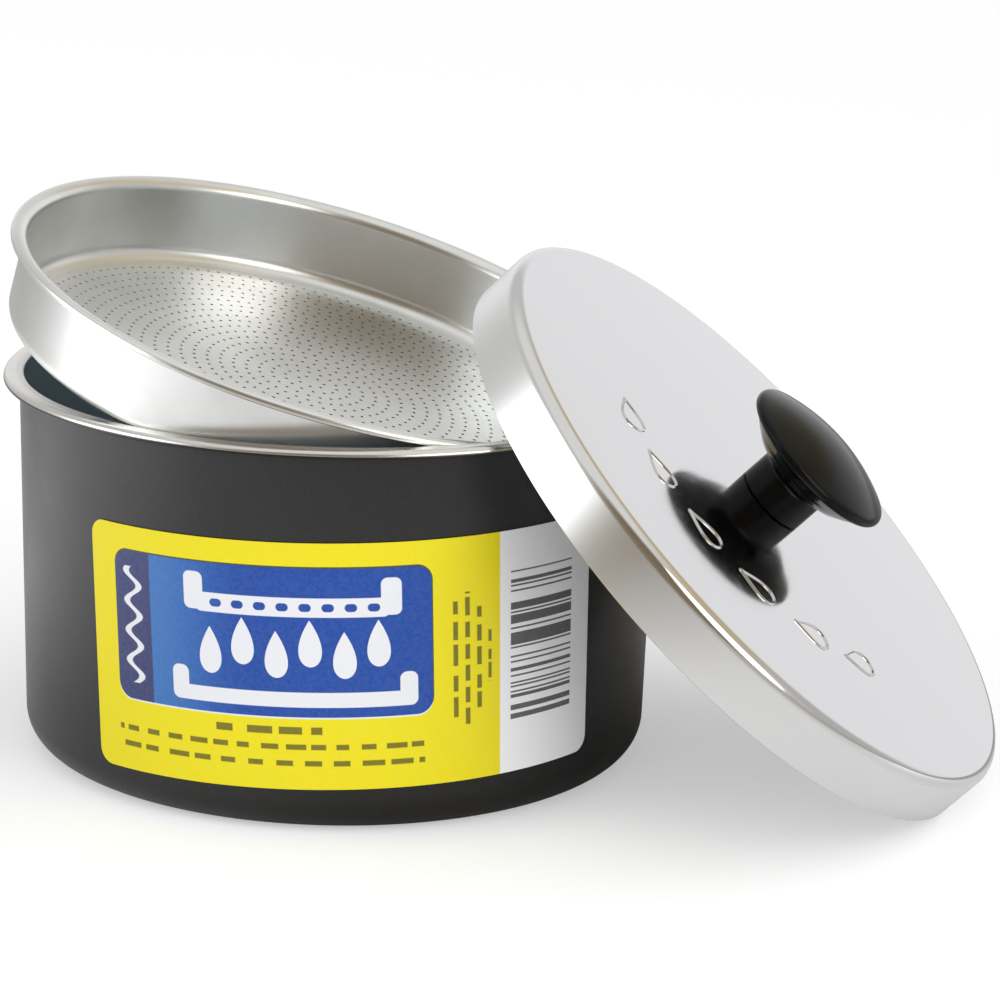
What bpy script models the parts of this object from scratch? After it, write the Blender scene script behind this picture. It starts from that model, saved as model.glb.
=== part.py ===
"""A grease container: a labelled pot, a strainer pan tipped in its mouth and a lid leaning on its flange."""

import math

import bmesh
import bpy
from mathutils import Matrix, Vector

# Facets
large_segments = 72
knob_segments = 40
small_segments = 24
corner_steps = 4
dome_steps = 5
label_steps = 36
sharp_angle = math.radians(32)

# Rounds of the search for the lid's point of contact
settle_rounds = 40

# Clearances
part_gap = 0.0003
rest_gap = 0.0004
pan_fit = 0.0004
lid_fit = 0.0003
shank_fit = 0.0004
cut_margin = 0.0010

# Pot, with a flange whose edge is curled down
pot_height = 0.0774
pot_top_radius = 0.0650
pot_draft = 0.0012
pot_base_radius = pot_top_radius - pot_draft
pot_corner_radius = 0.0073
pot_sheet = 0.0009
flange_width = 0.0032
flange_radius = pot_top_radius + flange_width
flange_curl = 0.0016
flange_edge_round = 0.0005
flange_root = 0.0005
mouth_ease = 0.0012

# Printed label on the pot's front
label_width = 0.1086
label_height = 0.0492
label_middle_height = 0.0342
label_offset = 0.0046
label_corner = 0.0032
label_sheet = 0.0003
label_rise_share = 0.025
label_slant_share = 0.045

# Strainer pan, which drops into the pot's mouth and hangs by its rim
pan_wall_radius = pot_top_radius - pot_sheet - pan_fit
pan_rim_width = 0.0029
pan_rim_radius = pan_wall_radius + pan_rim_width
pan_taper = 0.0002
pan_depth = 0.0183
pan_corner_radius = 0.0032
pan_sheet = 0.0007
pan_bead = 0.0015
pan_bead_root = 0.0004
pan_edge_round = 0.0005
pan_mouth_ease = 0.0010
pan_lean = math.radians(16.0)
pan_heading = math.radians(-22.2)

# Straining holes, in rings of six, twelve, eighteen and so on
strainer_field_margin = 0.0043
strainer_field_radius = pan_wall_radius - pan_taper - pan_corner_radius - strainer_field_margin
strainer_rings = 7
strainer_first_ring = 6
strainer_hole_radius = 0.0008
strainer_hole_sides = 6

# Lid, whose skirt drops over the flange
lid_sheet = 0.0007
lid_radius = flange_radius + lid_fit + lid_sheet
lid_skirt = 0.0120
lid_corner_radius = 0.0025
lid_dome = 0.0020
lid_lean = math.radians(44.2)
lid_heading = math.radians(-13.6)

# Raised drop outlines in an arc on the lid
drop_count = 6
drop_ring_radius = 0.0422
drop_pitch = math.radians(20.1)
drop_middle = math.radians(-89.5)
drop_length = 0.0092
drop_width = 0.0056
drop_line = 0.0007
drop_relief = 0.0004
drop_root_share = 0.5
drop_steps = 14
drop_fullness = 1.5
drop_widest_share = 0.702

# Mushroom knob: a stem under a domed cap
stem_radius = 0.0076
stem_height = 0.0066
cap_radius = 0.0174
cap_rim_height = 0.0120
cap_top_height = 0.0179
cap_inner_radius = 0.0108
cap_inner_height = 0.0082
cap_edge_round = 0.0012
cap_shoulder = 60

# Screw and washer under the lid
shank_radius = 0.0019
thread_engagement = 0.0075
head_radius = 0.0037
head_height = 0.0018
head_round = 0.0006
recess_length = 0.0040
recess_width = 0.0009
recess_depth = 0.0009
washer_margin = 0.0015
washer_radius = head_radius + washer_margin
washer_bore_radius = shank_radius + shank_fit
washer_sheet = 0.0008
lid_hole_radius = shank_radius + shank_fit

# Brass thread insert in the knob
insert_bore_radius = shank_radius + part_gap
insert_wall = 0.0012
insert_radius = insert_bore_radius + insert_wall
insert_length = 0.0090

# Colours as (red, green, blue), with metallic and roughness shares
finish_shares = {
    "charcoal_coating": ((0.055, 0.060, 0.064), 0.30, 0.42),
    "printed_label": ((0.78, 0.68, 0.02), 0.00, 0.35),
    "strainer_aluminium": ((0.62, 0.61, 0.58), 0.90, 0.36),
    "polished_aluminium": ((0.86, 0.86, 0.86), 1.00, 0.10),
    "black_plastic": ((0.006, 0.007, 0.008), 0.00, 0.16),
    "brass": ((0.72, 0.52, 0.20), 1.00, 0.30),
    "zinc_steel": ((0.60, 0.61, 0.62), 1.00, 0.32),
}


def clear_scene():
    for item in list(bpy.data.objects):
        bpy.data.objects.remove(item, do_unlink=True)


def make_material(name):
    colour, metallic, roughness = finish_shares[name]
    material = bpy.data.materials.new(name)
    material.use_nodes = True
    shader = material.node_tree.nodes["Principled BSDF"]
    shader.inputs["Base Color"].default_value = (*colour, 1)
    shader.inputs["Metallic"].default_value = metallic
    shader.inputs["Roughness"].default_value = roughness
    material.diffuse_color = (*colour, 1)
    return material


def arc(centre_radius, centre_height, radius, start, end, steps):
    """Outline points on a circle; angles in degrees from outward, turning upward."""
    points = []
    for step in range(steps + 1):
        angle = math.radians(start + (end - start) * step / steps)
        points.append((centre_radius + radius * math.cos(angle), centre_height + radius * math.sin(angle)))
    return points


def revolve(outline, segments):
    """Closed body swept round Z from a closed outline of (radius, height) points."""
    body = bmesh.new()
    rings = []
    for radius, height in outline:
        if radius == 0:
            rings.append([body.verts.new((0, 0, height))])
            continue
        ring = []
        for step in range(segments):
            turn = 2 * math.pi * step / segments
            ring.append(body.verts.new((radius * math.cos(turn), radius * math.sin(turn), height)))
        rings.append(ring)
    for index, ring in enumerate(rings):
        following = rings[(index + 1) % len(rings)]
        for step in range(segments):
            after = (step + 1) % segments
            corners = []
            for group, place in ((ring, step), (ring, after), (following, after), (following, step)):
                corner = group[place % len(group)]
                if corner not in corners:
                    corners.append(corner)
            if len(corners) > 2:
                body.faces.new(corners)
    bmesh.ops.recalc_face_normals(body, faces=body.faces)
    return body


def add_prism(body, outline, low, high, frame):
    """Closed prism over an (x, y) outline, between two heights, placed by a frame."""
    lower = [body.verts.new(frame @ Vector((x, y, low))) for x, y in outline]
    upper = [body.verts.new(frame @ Vector((x, y, high))) for x, y in outline]
    body.faces.new(reversed(lower))
    body.faces.new(upper)
    for index in range(len(outline)):
        after = (index + 1) % len(outline)
        body.faces.new((lower[index], lower[after], upper[after], upper[index]))


def add_ring_prism(body, outer, inner, low, high, frame):
    """Closed prism between an outer and an inner outline of equal length."""
    loops = []
    for outline, height in ((outer, low), (outer, high), (inner, high), (inner, low)):
        loops.append([body.verts.new(frame @ Vector((x, y, height))) for x, y in outline])
    for number, loop in enumerate(loops):
        following = loops[(number + 1) % len(loops)]
        for index in range(len(outer)):
            after = (index + 1) % len(outer)
            body.faces.new((loop[index], loop[after], following[after], following[index]))


def place_body(name, body, frame, finish=None):
    """Name a body and put it in the scene with its origin on the frame."""
    bmesh.ops.recalc_face_normals(body, faces=body.faces)
    mesh = bpy.data.meshes.new(name)
    body.to_mesh(mesh)
    body.free()
    mesh.polygons.foreach_set("use_smooth", [True] * len(mesh.polygons))
    mesh.set_sharp_from_angle(angle=sharp_angle)
    item = bpy.data.objects.new(name, mesh)
    bpy.context.scene.collection.objects.link(item)
    item.matrix_world = frame
    if finish:
        mesh.materials.append(finish)
    return item


def combine(item, other, operation):
    """Boolean of one body with a hidden one."""
    other.hide_render = True
    other.display_type = "WIRE"
    modifier = item.modifiers.new(other.name, "BOOLEAN")
    modifier.operation = operation
    modifier.solver = "EXACT"
    modifier.object = other


def leaning_frame(reach, height, lean, heading):
    """Frame whose Z axis leans by the lean angle towards the heading, with X pointing down the slope."""
    turn = Matrix.Rotation(heading, 4, "Z")
    tilt = Matrix.Rotation(lean, 4, "Y")
    return turn @ Matrix.Translation((reach, 0, height)) @ tilt


def pot_wall_radius(height):
    """Outer radius of the pot's slightly tapered wall."""
    straight = pot_height - flange_curl - flange_root - pot_corner_radius
    return pot_base_radius + (pot_top_radius - pot_base_radius) * (height - pot_corner_radius) / straight


def pot_outline():
    centre = (pot_base_radius - pot_corner_radius, pot_corner_radius)
    outer = arc(*centre, pot_corner_radius, -90, 0, corner_steps)
    inner = arc(*centre, pot_corner_radius - pot_sheet, 0, -90, corner_steps)
    mouth = pot_top_radius - pot_sheet
    flange = [
        (pot_top_radius, pot_height - flange_curl - flange_root),
        (pot_top_radius + flange_root, pot_height - pot_sheet),
        (flange_radius - pot_sheet, pot_height - pot_sheet),
        (flange_radius - pot_sheet, pot_height - flange_curl),
        (flange_radius, pot_height - flange_curl),
        (flange_radius, pot_height - flange_edge_round),
        (flange_radius - flange_edge_round, pot_height),
    ]
    ease = arc(mouth + mouth_ease, pot_height - mouth_ease, mouth_ease, 90, 180, corner_steps)
    return [(0, 0)] + outer + flange + ease + inner + [(0, pot_sheet)]


def label_body():
    """Thin band on the tapered wall, set a little askew, with rounded corners."""
    body = bmesh.new()
    half_width = label_width / 2
    half_height = label_height / 2
    shares = []
    for step in range(corner_steps + 1):
        shares.append(1 - math.cos(math.pi / 2 * step / corner_steps))
    places = [-half_width + label_corner * share for share in shares]
    for step in range(1, label_steps):
        places.append(-half_width + label_corner + (label_width - 2 * label_corner) * step / label_steps)
    places += [half_width - label_corner * share for share in reversed(shares)]
    loops = []
    for across in places:
        inset = max(0, label_corner - (half_width - abs(across)))
        reach = half_height - label_corner + math.sqrt(max(0, label_corner ** 2 - inset ** 2))
        column = []
        for up, depth in ((-reach, label_sheet), (reach, label_sheet), (reach, 0), (-reach, 0)):
            along = label_offset + across - up * label_slant_share
            height = label_middle_height + up + across * label_rise_share
            radius = pot_wall_radius(height) + part_gap + depth
            angle = along / pot_top_radius - math.pi / 2
            column.append(body.verts.new((radius * math.cos(angle), radius * math.sin(angle), height)))
        loops.append(column)
    for left, right in zip(loops, loops[1:]):
        for index in range(len(left)):
            after = (index + 1) % len(left)
            body.faces.new((left[index], right[index], right[after], left[after]))
    body.faces.new(loops[0])
    body.faces.new(reversed(loops[-1]))
    return body


def pan_outline():
    """Outline with the rim's top at height 0."""
    base_radius = pan_wall_radius - pan_taper
    centre = (base_radius - pan_corner_radius, pan_corner_radius - pan_depth)
    outer = arc(*centre, pan_corner_radius, -90, 0, corner_steps)
    inner = arc(*centre, pan_corner_radius - pan_sheet, 0, -90, corner_steps)
    rim = [
        (pan_wall_radius, -pan_bead - pan_bead_root),
        (pan_wall_radius + pan_bead_root, -pan_sheet),
        (pan_rim_radius - pan_sheet, -pan_sheet),
        (pan_rim_radius - pan_sheet, -pan_bead),
        (pan_rim_radius, -pan_bead),
        (pan_rim_radius, -pan_edge_round),
        (pan_rim_radius - pan_edge_round, 0),
    ]
    bore = pan_wall_radius - pan_sheet
    ease = arc(bore + pan_mouth_ease, -pan_mouth_ease, pan_mouth_ease, 90, 180, corner_steps)
    return [(0, -pan_depth)] + outer + rim + ease + inner + [(0, pan_sheet - pan_depth)]


def pan_frame():
    """The tipped pan's rim edge and bottom corner both touch the pot's mouth circle."""
    mouth = pot_top_radius - pot_sheet + mouth_ease / 4 - rest_gap
    fillet = pan_corner_radius * (1 - math.sqrt(2) / 2)
    low_radius = pan_wall_radius - pan_taper - fillet
    drop = pan_depth - fillet - pan_bead
    reach = math.sin(pan_lean) * (low_radius ** 2 - pan_rim_radius ** 2 + drop ** 2) / (2 * drop)
    level = reach * math.cos(pan_lean)
    spread = math.sin(pan_lean) ** 2 * (pan_rim_radius ** 2 - mouth ** 2 + reach ** 2)
    climb = (level + math.sqrt(level ** 2 + spread)) / math.sin(pan_lean) ** 2
    height = pot_height + climb * math.sin(pan_lean) + pan_bead * math.cos(pan_lean)
    return leaning_frame(reach + pan_bead * math.sin(pan_lean), height, pan_lean, pan_heading)


def strainer_cutter_body():
    body = bmesh.new()
    pitch = strainer_field_radius / strainer_rings
    for ring in range(strainer_rings + 1):
        count = max(1, strainer_first_ring * ring)
        for place in range(count):
            angle = 2 * math.pi * (place + ring / 2) / count
            radius = ring * pitch
            centre = Matrix.Translation((radius * math.cos(angle), radius * math.sin(angle), -pan_depth))
            outline = []
            for side in range(strainer_hole_sides):
                turn = 2 * math.pi * side / strainer_hole_sides
                outline.append((strainer_hole_radius * math.cos(turn), strainer_hole_radius * math.sin(turn)))
            add_prism(body, outline, -cut_margin, pan_sheet + cut_margin, centre)
    return body


def lid_height(radius):
    """Height of the lid's domed outer face over its skirt edge."""
    return lid_skirt + lid_dome * (1 - (radius / (lid_radius - lid_corner_radius)) ** 2)


def lid_outline():
    """Outline with the skirt's edge at height 0, open to the screw hole in the middle."""
    flat_radius = lid_radius - lid_corner_radius
    centre = (flat_radius, lid_skirt - lid_corner_radius)
    spans = [step / dome_steps for step in range(1, dome_steps + 1)]
    radii = [flat_radius + (lid_hole_radius - flat_radius) * span for span in spans]
    outer = arc(*centre, lid_corner_radius, 0, 90, corner_steps)
    outer += [(radius, lid_height(radius)) for radius in radii]
    under = [(radius, lid_height(radius) - lid_sheet) for radius in reversed(radii)]
    inner = arc(*centre, lid_corner_radius - lid_sheet, 90, 0, corner_steps)
    return [(lid_radius, 0)] + outer + under + inner + [(lid_radius - lid_sheet, 0)]


def lid_frame():
    """The lid's skirt stands on the ground and its plate leans on the pot's flange."""
    rise = lid_radius * math.sin(lid_lean)
    contact = flange_radius - flange_edge_round
    over = pot_height - rise
    local_radius = contact
    for _ in range(settle_rounds):
        under = lid_height(local_radius) - lid_sheet - rest_gap
        reach = contact - (under - over * math.cos(lid_lean)) / math.sin(lid_lean)
        local_radius = abs((contact - reach) * math.cos(lid_lean) - over * math.sin(lid_lean))
    return leaning_frame(reach, rise, lid_lean, lid_heading)


def drop_outline():
    """Drop with its tip at the top, between -1 and 1 both ways."""
    points = []
    for step in range(drop_steps):
        turn = 2 * math.pi * step / drop_steps
        reach = math.sin(turn) * math.sin(turn / 2) ** drop_fullness / drop_widest_share
        points.append((-reach, math.cos(turn)))
    return points


def drops_body():
    """Raised drop outlines that follow each other round the lid, tilted with its dome."""
    body = bmesh.new()
    slope = math.atan(2 * lid_dome * drop_ring_radius / (lid_radius - lid_corner_radius) ** 2)
    inner_shares = (1 - 2 * drop_line / drop_width, 1 - 2 * drop_line / drop_length)
    for place in range(drop_count):
        angle = drop_middle + drop_pitch * (place - (drop_count - 1) / 2)
        frame = Matrix.Rotation(angle, 4, "Z")
        frame = frame @ Matrix.Translation((drop_ring_radius, 0, lid_height(drop_ring_radius)))
        frame = frame @ Matrix.Rotation(slope, 4, "Y") @ Matrix.Rotation(math.pi, 4, "Z")
        outer = [(x * drop_width / 2, y * drop_length / 2) for x, y in drop_outline()]
        inner = [(x * inner_shares[0], y * inner_shares[1]) for x, y in outer]
        add_ring_prism(body, outer, inner, -lid_sheet * drop_root_share, drop_relief, frame)
    return body


def knob_outline():
    """Mushroom outline with its blind bore, over the lid's face at height 0."""
    edge_centre = (cap_radius - cap_edge_round, cap_rim_height + cap_edge_round)
    rim = arc(*edge_centre, cap_edge_round, cap_shoulder, -90, 2 * corner_steps)
    shoulder_radius, shoulder_height = rim[0]
    crown = []
    for step in range(1, dome_steps + 1):
        share = step / (dome_steps + 1)
        rise = (cap_top_height - shoulder_height) * (1 - share ** 2)
        crown.append((shoulder_radius * share, shoulder_height + rise))
    neck = [
        (cap_inner_radius, cap_inner_height),
        (stem_radius + cap_edge_round, (cap_inner_height + stem_height) / 2),
        (stem_radius, stem_height),
        (stem_radius, part_gap),
    ]
    bore_radius = insert_radius + part_gap
    bore_top = insert_length + 3 * part_gap
    bore = [(bore_radius, part_gap), (bore_radius, bore_top), (0, bore_top)]
    return [(0, cap_top_height)] + crown + rim + neck + bore


def insert_outline():
    low = 2 * part_gap
    high = low + insert_length
    return [(insert_radius, low), (insert_radius, high), (insert_bore_radius, high), (insert_bore_radius, low)]


def washer_outline():
    high = -lid_sheet - part_gap
    low = high - washer_sheet
    return [(washer_radius, low), (washer_radius, high), (washer_bore_radius, high), (washer_bore_radius, low)]


def screw_outline():
    seat = -lid_sheet - 2 * part_gap - washer_sheet
    low = seat - head_height
    tip = 2 * part_gap + thread_engagement
    return [
        (0, tip),
        (shank_radius, tip),
        (shank_radius, seat),
        (head_radius, seat),
        (head_radius, low + head_round),
        (head_radius - head_round, low),
        (0, low),
    ]


def recess_body():
    """Cross recess cut up into the screw's head."""
    body = bmesh.new()
    low = -lid_sheet - 2 * part_gap - washer_sheet - head_height
    near = recess_width / 2
    far = recess_length / 2
    outline = [
        (far, -near), (far, near), (near, near), (near, far), (-near, far), (-near, near),
        (-far, near), (-far, -near), (-near, -near), (-near, -far), (near, -far), (near, -near),
    ]
    add_prism(body, outline, low - cut_margin, low + recess_depth, Matrix.Identity(4))
    return body


clear_scene()
finishes = {name: make_material(name) for name in finish_shares}

# Pot and its label, on the world's own axes
level = Matrix.Identity(4)
pot_body = revolve(pot_outline(), large_segments)
place_body("container_pot", pot_body, level, finishes["charcoal_coating"])
place_body("container_label", label_body(), level, finishes["printed_label"])

# Strainer pan, tipped in the pot's mouth
tipped = pan_frame()
pan_body = revolve(pan_outline(), large_segments)
strainer_pan = place_body("strainer_pan", pan_body, tipped, finishes["strainer_aluminium"])
combine(strainer_pan, place_body("strainer_cutter", strainer_cutter_body(), tipped), "DIFFERENCE")

# Lid, leaning, with its knob, insert, washer and screw on one axis
leaning = lid_frame()
lid_top = leaning @ Matrix.Translation((0, 0, lid_height(0)))
lid_body = revolve(lid_outline(), large_segments)
lid_shell = place_body("lid_shell", lid_body, leaning, finishes["polished_aluminium"])
combine(lid_shell, place_body("drop_relief", drops_body(), leaning), "UNION")
knob_body = revolve(knob_outline(), knob_segments)
place_body("lid_knob", knob_body, lid_top, finishes["black_plastic"])
insert_body = revolve(insert_outline(), small_segments)
place_body("knob_insert", insert_body, lid_top, finishes["brass"])
washer_body = revolve(washer_outline(), small_segments)
place_body("screw_washer", washer_body, lid_top, finishes["zinc_steel"])
screw_body = revolve(screw_outline(), small_segments)
knob_screw = place_body("knob_screw", screw_body, lid_top, finishes["zinc_steel"])
combine(knob_screw, place_body("recess_cutter", recess_body(), lid_top), "DIFFERENCE")
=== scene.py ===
import math

import bmesh
import bpy
from mathutils import Matrix, Vector


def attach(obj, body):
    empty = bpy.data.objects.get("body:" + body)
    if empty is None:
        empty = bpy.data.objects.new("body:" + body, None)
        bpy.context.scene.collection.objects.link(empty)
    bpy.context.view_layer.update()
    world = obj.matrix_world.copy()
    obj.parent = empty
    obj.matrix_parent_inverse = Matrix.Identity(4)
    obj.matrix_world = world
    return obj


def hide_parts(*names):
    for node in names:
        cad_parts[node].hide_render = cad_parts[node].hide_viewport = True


# Grease container: labelled pot, strainer pan tipped in its mouth, lid leaning on the flange

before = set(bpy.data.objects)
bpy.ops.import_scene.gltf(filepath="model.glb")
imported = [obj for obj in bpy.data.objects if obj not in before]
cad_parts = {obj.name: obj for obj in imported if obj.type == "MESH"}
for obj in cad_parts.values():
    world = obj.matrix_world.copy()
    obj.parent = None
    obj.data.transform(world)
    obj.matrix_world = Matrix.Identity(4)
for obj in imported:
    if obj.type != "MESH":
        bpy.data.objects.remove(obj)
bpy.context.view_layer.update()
print("frame loaded:", sorted(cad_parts))


# mesh helpers

levelSpread = 0.000001    # metres between the heights of a level face's corners
sharpAngle = math.radians(34)


def addMesh(name, bm):
    mesh = bpy.data.meshes.new(name)
    bm.to_mesh(mesh)
    bm.free()
    obj = bpy.data.objects.new(name, mesh)
    bpy.context.scene.collection.objects.link(obj)
    return obj


def arcPoints(centreRadius, centreHeight, radius, startDegrees, endDegrees, steps):
    points = []
    for step in range(steps + 1):
        angle = math.radians(startDegrees + (endDegrees - startDegrees) * step / steps)
        points.append((centreRadius + radius * math.cos(angle), centreHeight + radius * math.sin(angle)))
    return points


def spinOutline(name, outline, segments, innerFrom=None):
    # closed (radius, height) outline swept round Z; an end on the axis becomes one flat face
    bm = bmesh.new()
    inner = bm.verts.layers.float.new("inner")
    rings = []
    for index, (radius, height) in enumerate(outline):
        if radius == 0:
            rings.append(None)
            continue
        ring = []
        for step in range(segments):
            turn = 2 * math.pi * step / segments
            vert = bm.verts.new((radius * math.cos(turn), radius * math.sin(turn), height))
            vert[inner] = 1.0 if innerFrom is not None and index >= innerFrom else 0.0
            ring.append(vert)
        rings.append(ring)
    for index, ring in enumerate(rings):
        nextRing = rings[(index + 1) % len(rings)]
        if ring is None and nextRing is None:
            continue
        if ring is None or nextRing is None:
            bm.faces.new(ring or nextRing)
            continue
        for step in range(segments):
            after = (step + 1) % segments
            bm.faces.new((ring[step], ring[after], nextRing[after], nextRing[step]))
    bmesh.ops.recalc_face_normals(bm, faces=bm.faces)
    return addMesh(name, bm)


def leaningPlace(piece):
    turn = Matrix.Rotation(math.radians(piece["heading"]), 4, "Z")
    lean = Matrix.Rotation(math.radians(piece["lean"]), 4, "Y")
    return turn @ Matrix.Translation((piece["reach"], 0, piece["height"])) @ lean


def finishPiece(obj, place, material, body, nodes):
    # place goes into the mesh and the object stays at the origin; level faces keep exactly level normals
    mesh = obj.data
    level = {}
    for face in mesh.polygons:
        heights = [mesh.vertices[corner].co.z for corner in face.vertices]
        if max(heights) - min(heights) < levelSpread:
            level[face.index] = math.copysign(1, face.normal.z)
    mesh.polygons.foreach_set("use_smooth", [face.index not in level for face in mesh.polygons])
    mesh.transform(place)
    mesh.materials.clear()
    mesh.materials.append(material)
    mesh.set_sharp_from_angle(angle=sharpAngle)
    mesh.update()
    up = (place.to_3x3() @ Vector((0, 0, 1))).normalized()
    normals = [corner.vector.copy() for corner in mesh.corner_normals]
    for face in mesh.polygons:
        if face.index in level:
            for loop in face.loop_indices:
                normals[loop] = up * level[face.index]
    mesh.polygons.foreach_set("use_smooth", [True] * len(mesh.polygons))
    mesh.normals_split_custom_set(normals)
    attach(obj, body)
    if nodes:
        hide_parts(*nodes)
    print("piece", obj.name, len(mesh.polygons), "faces")


# node helpers

def setInput(tree, socket, value):
    if isinstance(value, bpy.types.NodeSocket):
        tree.links.new(value, socket)
    else:
        socket.default_value = value


def addNode(tree, kind, settings=None, **inputs):
    # settings: the node's own options; inputs: socket names with _ for a space
    node = tree.nodes.new(kind)
    for setting, value in (settings or {}).items():
        setattr(node, setting, value)
    for socketName, value in inputs.items():
        setInput(tree, node.inputs[socketName.replace("_", " ")], value)
    return node.outputs


def calc(tree, operation, first, second=None):
    node = tree.nodes.new("ShaderNodeMath")
    node.operation = operation
    setInput(tree, node.inputs[0], first)
    if second is not None:
        setInput(tree, node.inputs[1], second)
    return node.outputs[0]


def ramp(tree, value, low, high, outLow=0.0, outHigh=1.0, smooth=True):
    kind = "SMOOTHSTEP" if smooth else "LINEAR"
    return addNode(tree, "ShaderNodeMapRange", {"interpolation_type": kind}, Value=value,
                   From_Min=low, From_Max=high, To_Min=outLow, To_Max=outHigh)["Result"]


def mixColour(tree, factor, first, second):
    node = tree.nodes.new("ShaderNodeMix")
    node.data_type = "RGBA"
    setInput(tree, node.inputs[0], factor)
    setInput(tree, node.inputs[6], first)
    setInput(tree, node.inputs[7], second)
    return node.outputs[2]


def noise(tree, vector, scale, detail=2.0, roughness=0.5):
    return addNode(tree, "ShaderNodeTexNoise", Vector=vector, Scale=scale, Detail=detail, Roughness=roughness)["Fac"]


def objectCoords(tree, place=Matrix.Identity(4)):
    # object coordinates seen from a piece's own frame
    coords = addNode(tree, "ShaderNodeTexCoord")["Object"]
    return addNode(tree, "ShaderNodeMapping", {"vector_type": "TEXTURE"}, Vector=coords,
                   Location=place.translation, Rotation=place.to_euler())["Vector"]


def splitVector(tree, vector):
    return addNode(tree, "ShaderNodeSeparateXYZ", Vector=vector)


def axisDistance(tree, x, y):
    return calc(tree, "SQRT", calc(tree, "ADD", calc(tree, "MULTIPLY", x, x), calc(tree, "MULTIPLY", y, y)))


def bump(tree, height, strength, distance):
    return addNode(tree, "ShaderNodeBump", Strength=strength, Distance=distance, Height=height)["Normal"]


def newMaterial(name, **values):
    material = bpy.data.materials.new(name)
    material.use_nodes = True
    shader = material.node_tree.nodes["Principled BSDF"]
    for socketName, value in values.items():
        shader.inputs[socketName.replace("_", " ")].default_value = value
    return material, material.node_tree, shader


def newGroup(name, inputs, outputs):
    # inputs: {name: default}, None for a vector; outputs: names of float masks
    group = bpy.data.node_groups.new(name, "ShaderNodeTree")
    for socketName, default in inputs.items():
        kind = "NodeSocketVector" if default is None else "NodeSocketFloat"
        socket = group.interface.new_socket(name=socketName, in_out="INPUT", socket_type=kind)
        if default is not None:
            socket.default_value = default
    for socketName in outputs:
        group.interface.new_socket(name=socketName, in_out="OUTPUT", socket_type="NodeSocketFloat")
    return group, group.nodes.new("NodeGroupInput").outputs, group.nodes.new("NodeGroupOutput").inputs


def useGroup(tree, group, **values):
    node = tree.nodes.new("ShaderNodeGroup")
    node.node_tree = group
    for socketName, value in values.items():
        setInput(tree, node.inputs[socketName], value)
    return node.outputs


def srgb(red, green, blue):
    # 0-255 screen values to a linear colour
    parts = []
    for part in (red, green, blue):
        part = part / 255
        parts.append(part / 12.92 if part <= 0.04045 else ((part + 0.055) / 1.055) ** 2.4)
    return (*parts, 1.0)


# Geometry Nodes helpers

def openTree(name, source, sockets, result):
    # sockets: {name: type} of the values set on the modifier
    tree = bpy.data.node_groups.new(name, "GeometryNodeTree")
    tree.interface.new_socket(name=source, in_out="INPUT", socket_type="NodeSocketGeometry")
    for socketName, socketType in sockets.items():
        tree.interface.new_socket(name=socketName, in_out="INPUT", socket_type="NodeSocket" + socketType)
    tree.interface.new_socket(name=result, in_out="OUTPUT", socket_type="NodeSocketGeometry")
    return tree, tree.nodes.new("NodeGroupInput").outputs, tree.nodes.new("NodeGroupOutput").inputs[0]


def closeTree(tree, geometry, metal, result):
    real = addNode(tree, "GeometryNodeRealizeInstances", Geometry=geometry)
    painted = addNode(tree, "GeometryNodeSetMaterial", Geometry=real[0], Material=metal)
    tree.links.new(painted[0], result)


def bakeTree(obj, tree, **values):
    # run a Geometry Nodes tree once and keep its result as a plain mesh
    modifier = obj.modifiers.new(tree.name, "NODES")
    modifier.node_group = tree
    sockets = {item.name: item.identifier for item in tree.interface.items_tree if item.in_out == "INPUT"}
    for socketName, value in values.items():
        modifier[sockets[socketName.replace("_", " ")]] = value
    bpy.context.view_layer.update()
    graph = bpy.context.evaluated_depsgraph_get()
    baked = bpy.data.meshes.new_from_object(obj.evaluated_get(graph))
    obj.modifiers.clear()
    old = obj.data
    obj.data = baked
    baked.name = obj.name
    bpy.data.meshes.remove(old)


# shared effects

def makeFleckGroup():
    # tiny flakes and grain, for the coating and the satin metal
    group, given, result = newGroup("fineFleck", {"Vector": None, "Size": 1600.0, "Cover": 0.5}, ["Fleck", "Grain"])
    cells = addNode(group, "ShaderNodeTexVoronoi", {"feature": "F1"}, Vector=given["Vector"], Scale=given["Size"])
    chosen = calc(group, "LESS_THAN", splitVector(group, cells["Color"])[0], given["Cover"])
    centre = ramp(group, cells["Distance"], 0.15, 0.55, 1.0, 0.0)
    group.links.new(calc(group, "MULTIPLY", chosen, centre), result["Fleck"])
    group.links.new(noise(group, given["Vector"], given["Size"], 3.0), result["Grain"])
    return group


def makePanelGroup():
    # rounded rectangle in label millimetres
    group, given, result = newGroup("roundPanel", {
        "U": 0.0, "V": 0.0, "Left": 0.0, "Right": 1.0, "Bottom": 0.0, "Top": 1.0, "Corner": 1.0, "Blur": 0.08,
    }, ["Mask"])
    reaches = []
    for along, low, high in (("U", "Left", "Right"), ("V", "Bottom", "Top")):
        middle = calc(group, "MULTIPLY", calc(group, "ADD", given[low], given[high]), 0.5)
        half = calc(group, "MULTIPLY", calc(group, "SUBTRACT", given[high], given[low]), 0.5)
        away = calc(group, "ABSOLUTE", calc(group, "SUBTRACT", given[along], middle))
        reaches.append(calc(group, "ADD", calc(group, "SUBTRACT", away, half), given["Corner"]))
    outside = [calc(group, "MAXIMUM", reach, 0.0) for reach in reaches]
    squares = [calc(group, "MULTIPLY", reach, reach) for reach in outside]
    length = calc(group, "SQRT", calc(group, "ADD", *squares))
    inside = calc(group, "MINIMUM", calc(group, "MAXIMUM", *reaches), 0.0)
    distance = calc(group, "SUBTRACT", calc(group, "ADD", length, inside), given["Corner"])
    blurBack = calc(group, "MULTIPLY", given["Blur"], -1.0)
    mask = ramp(group, distance, blurBack, given["Blur"], 1.0, 0.0)
    group.links.new(mask, result["Mask"])
    return group


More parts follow.
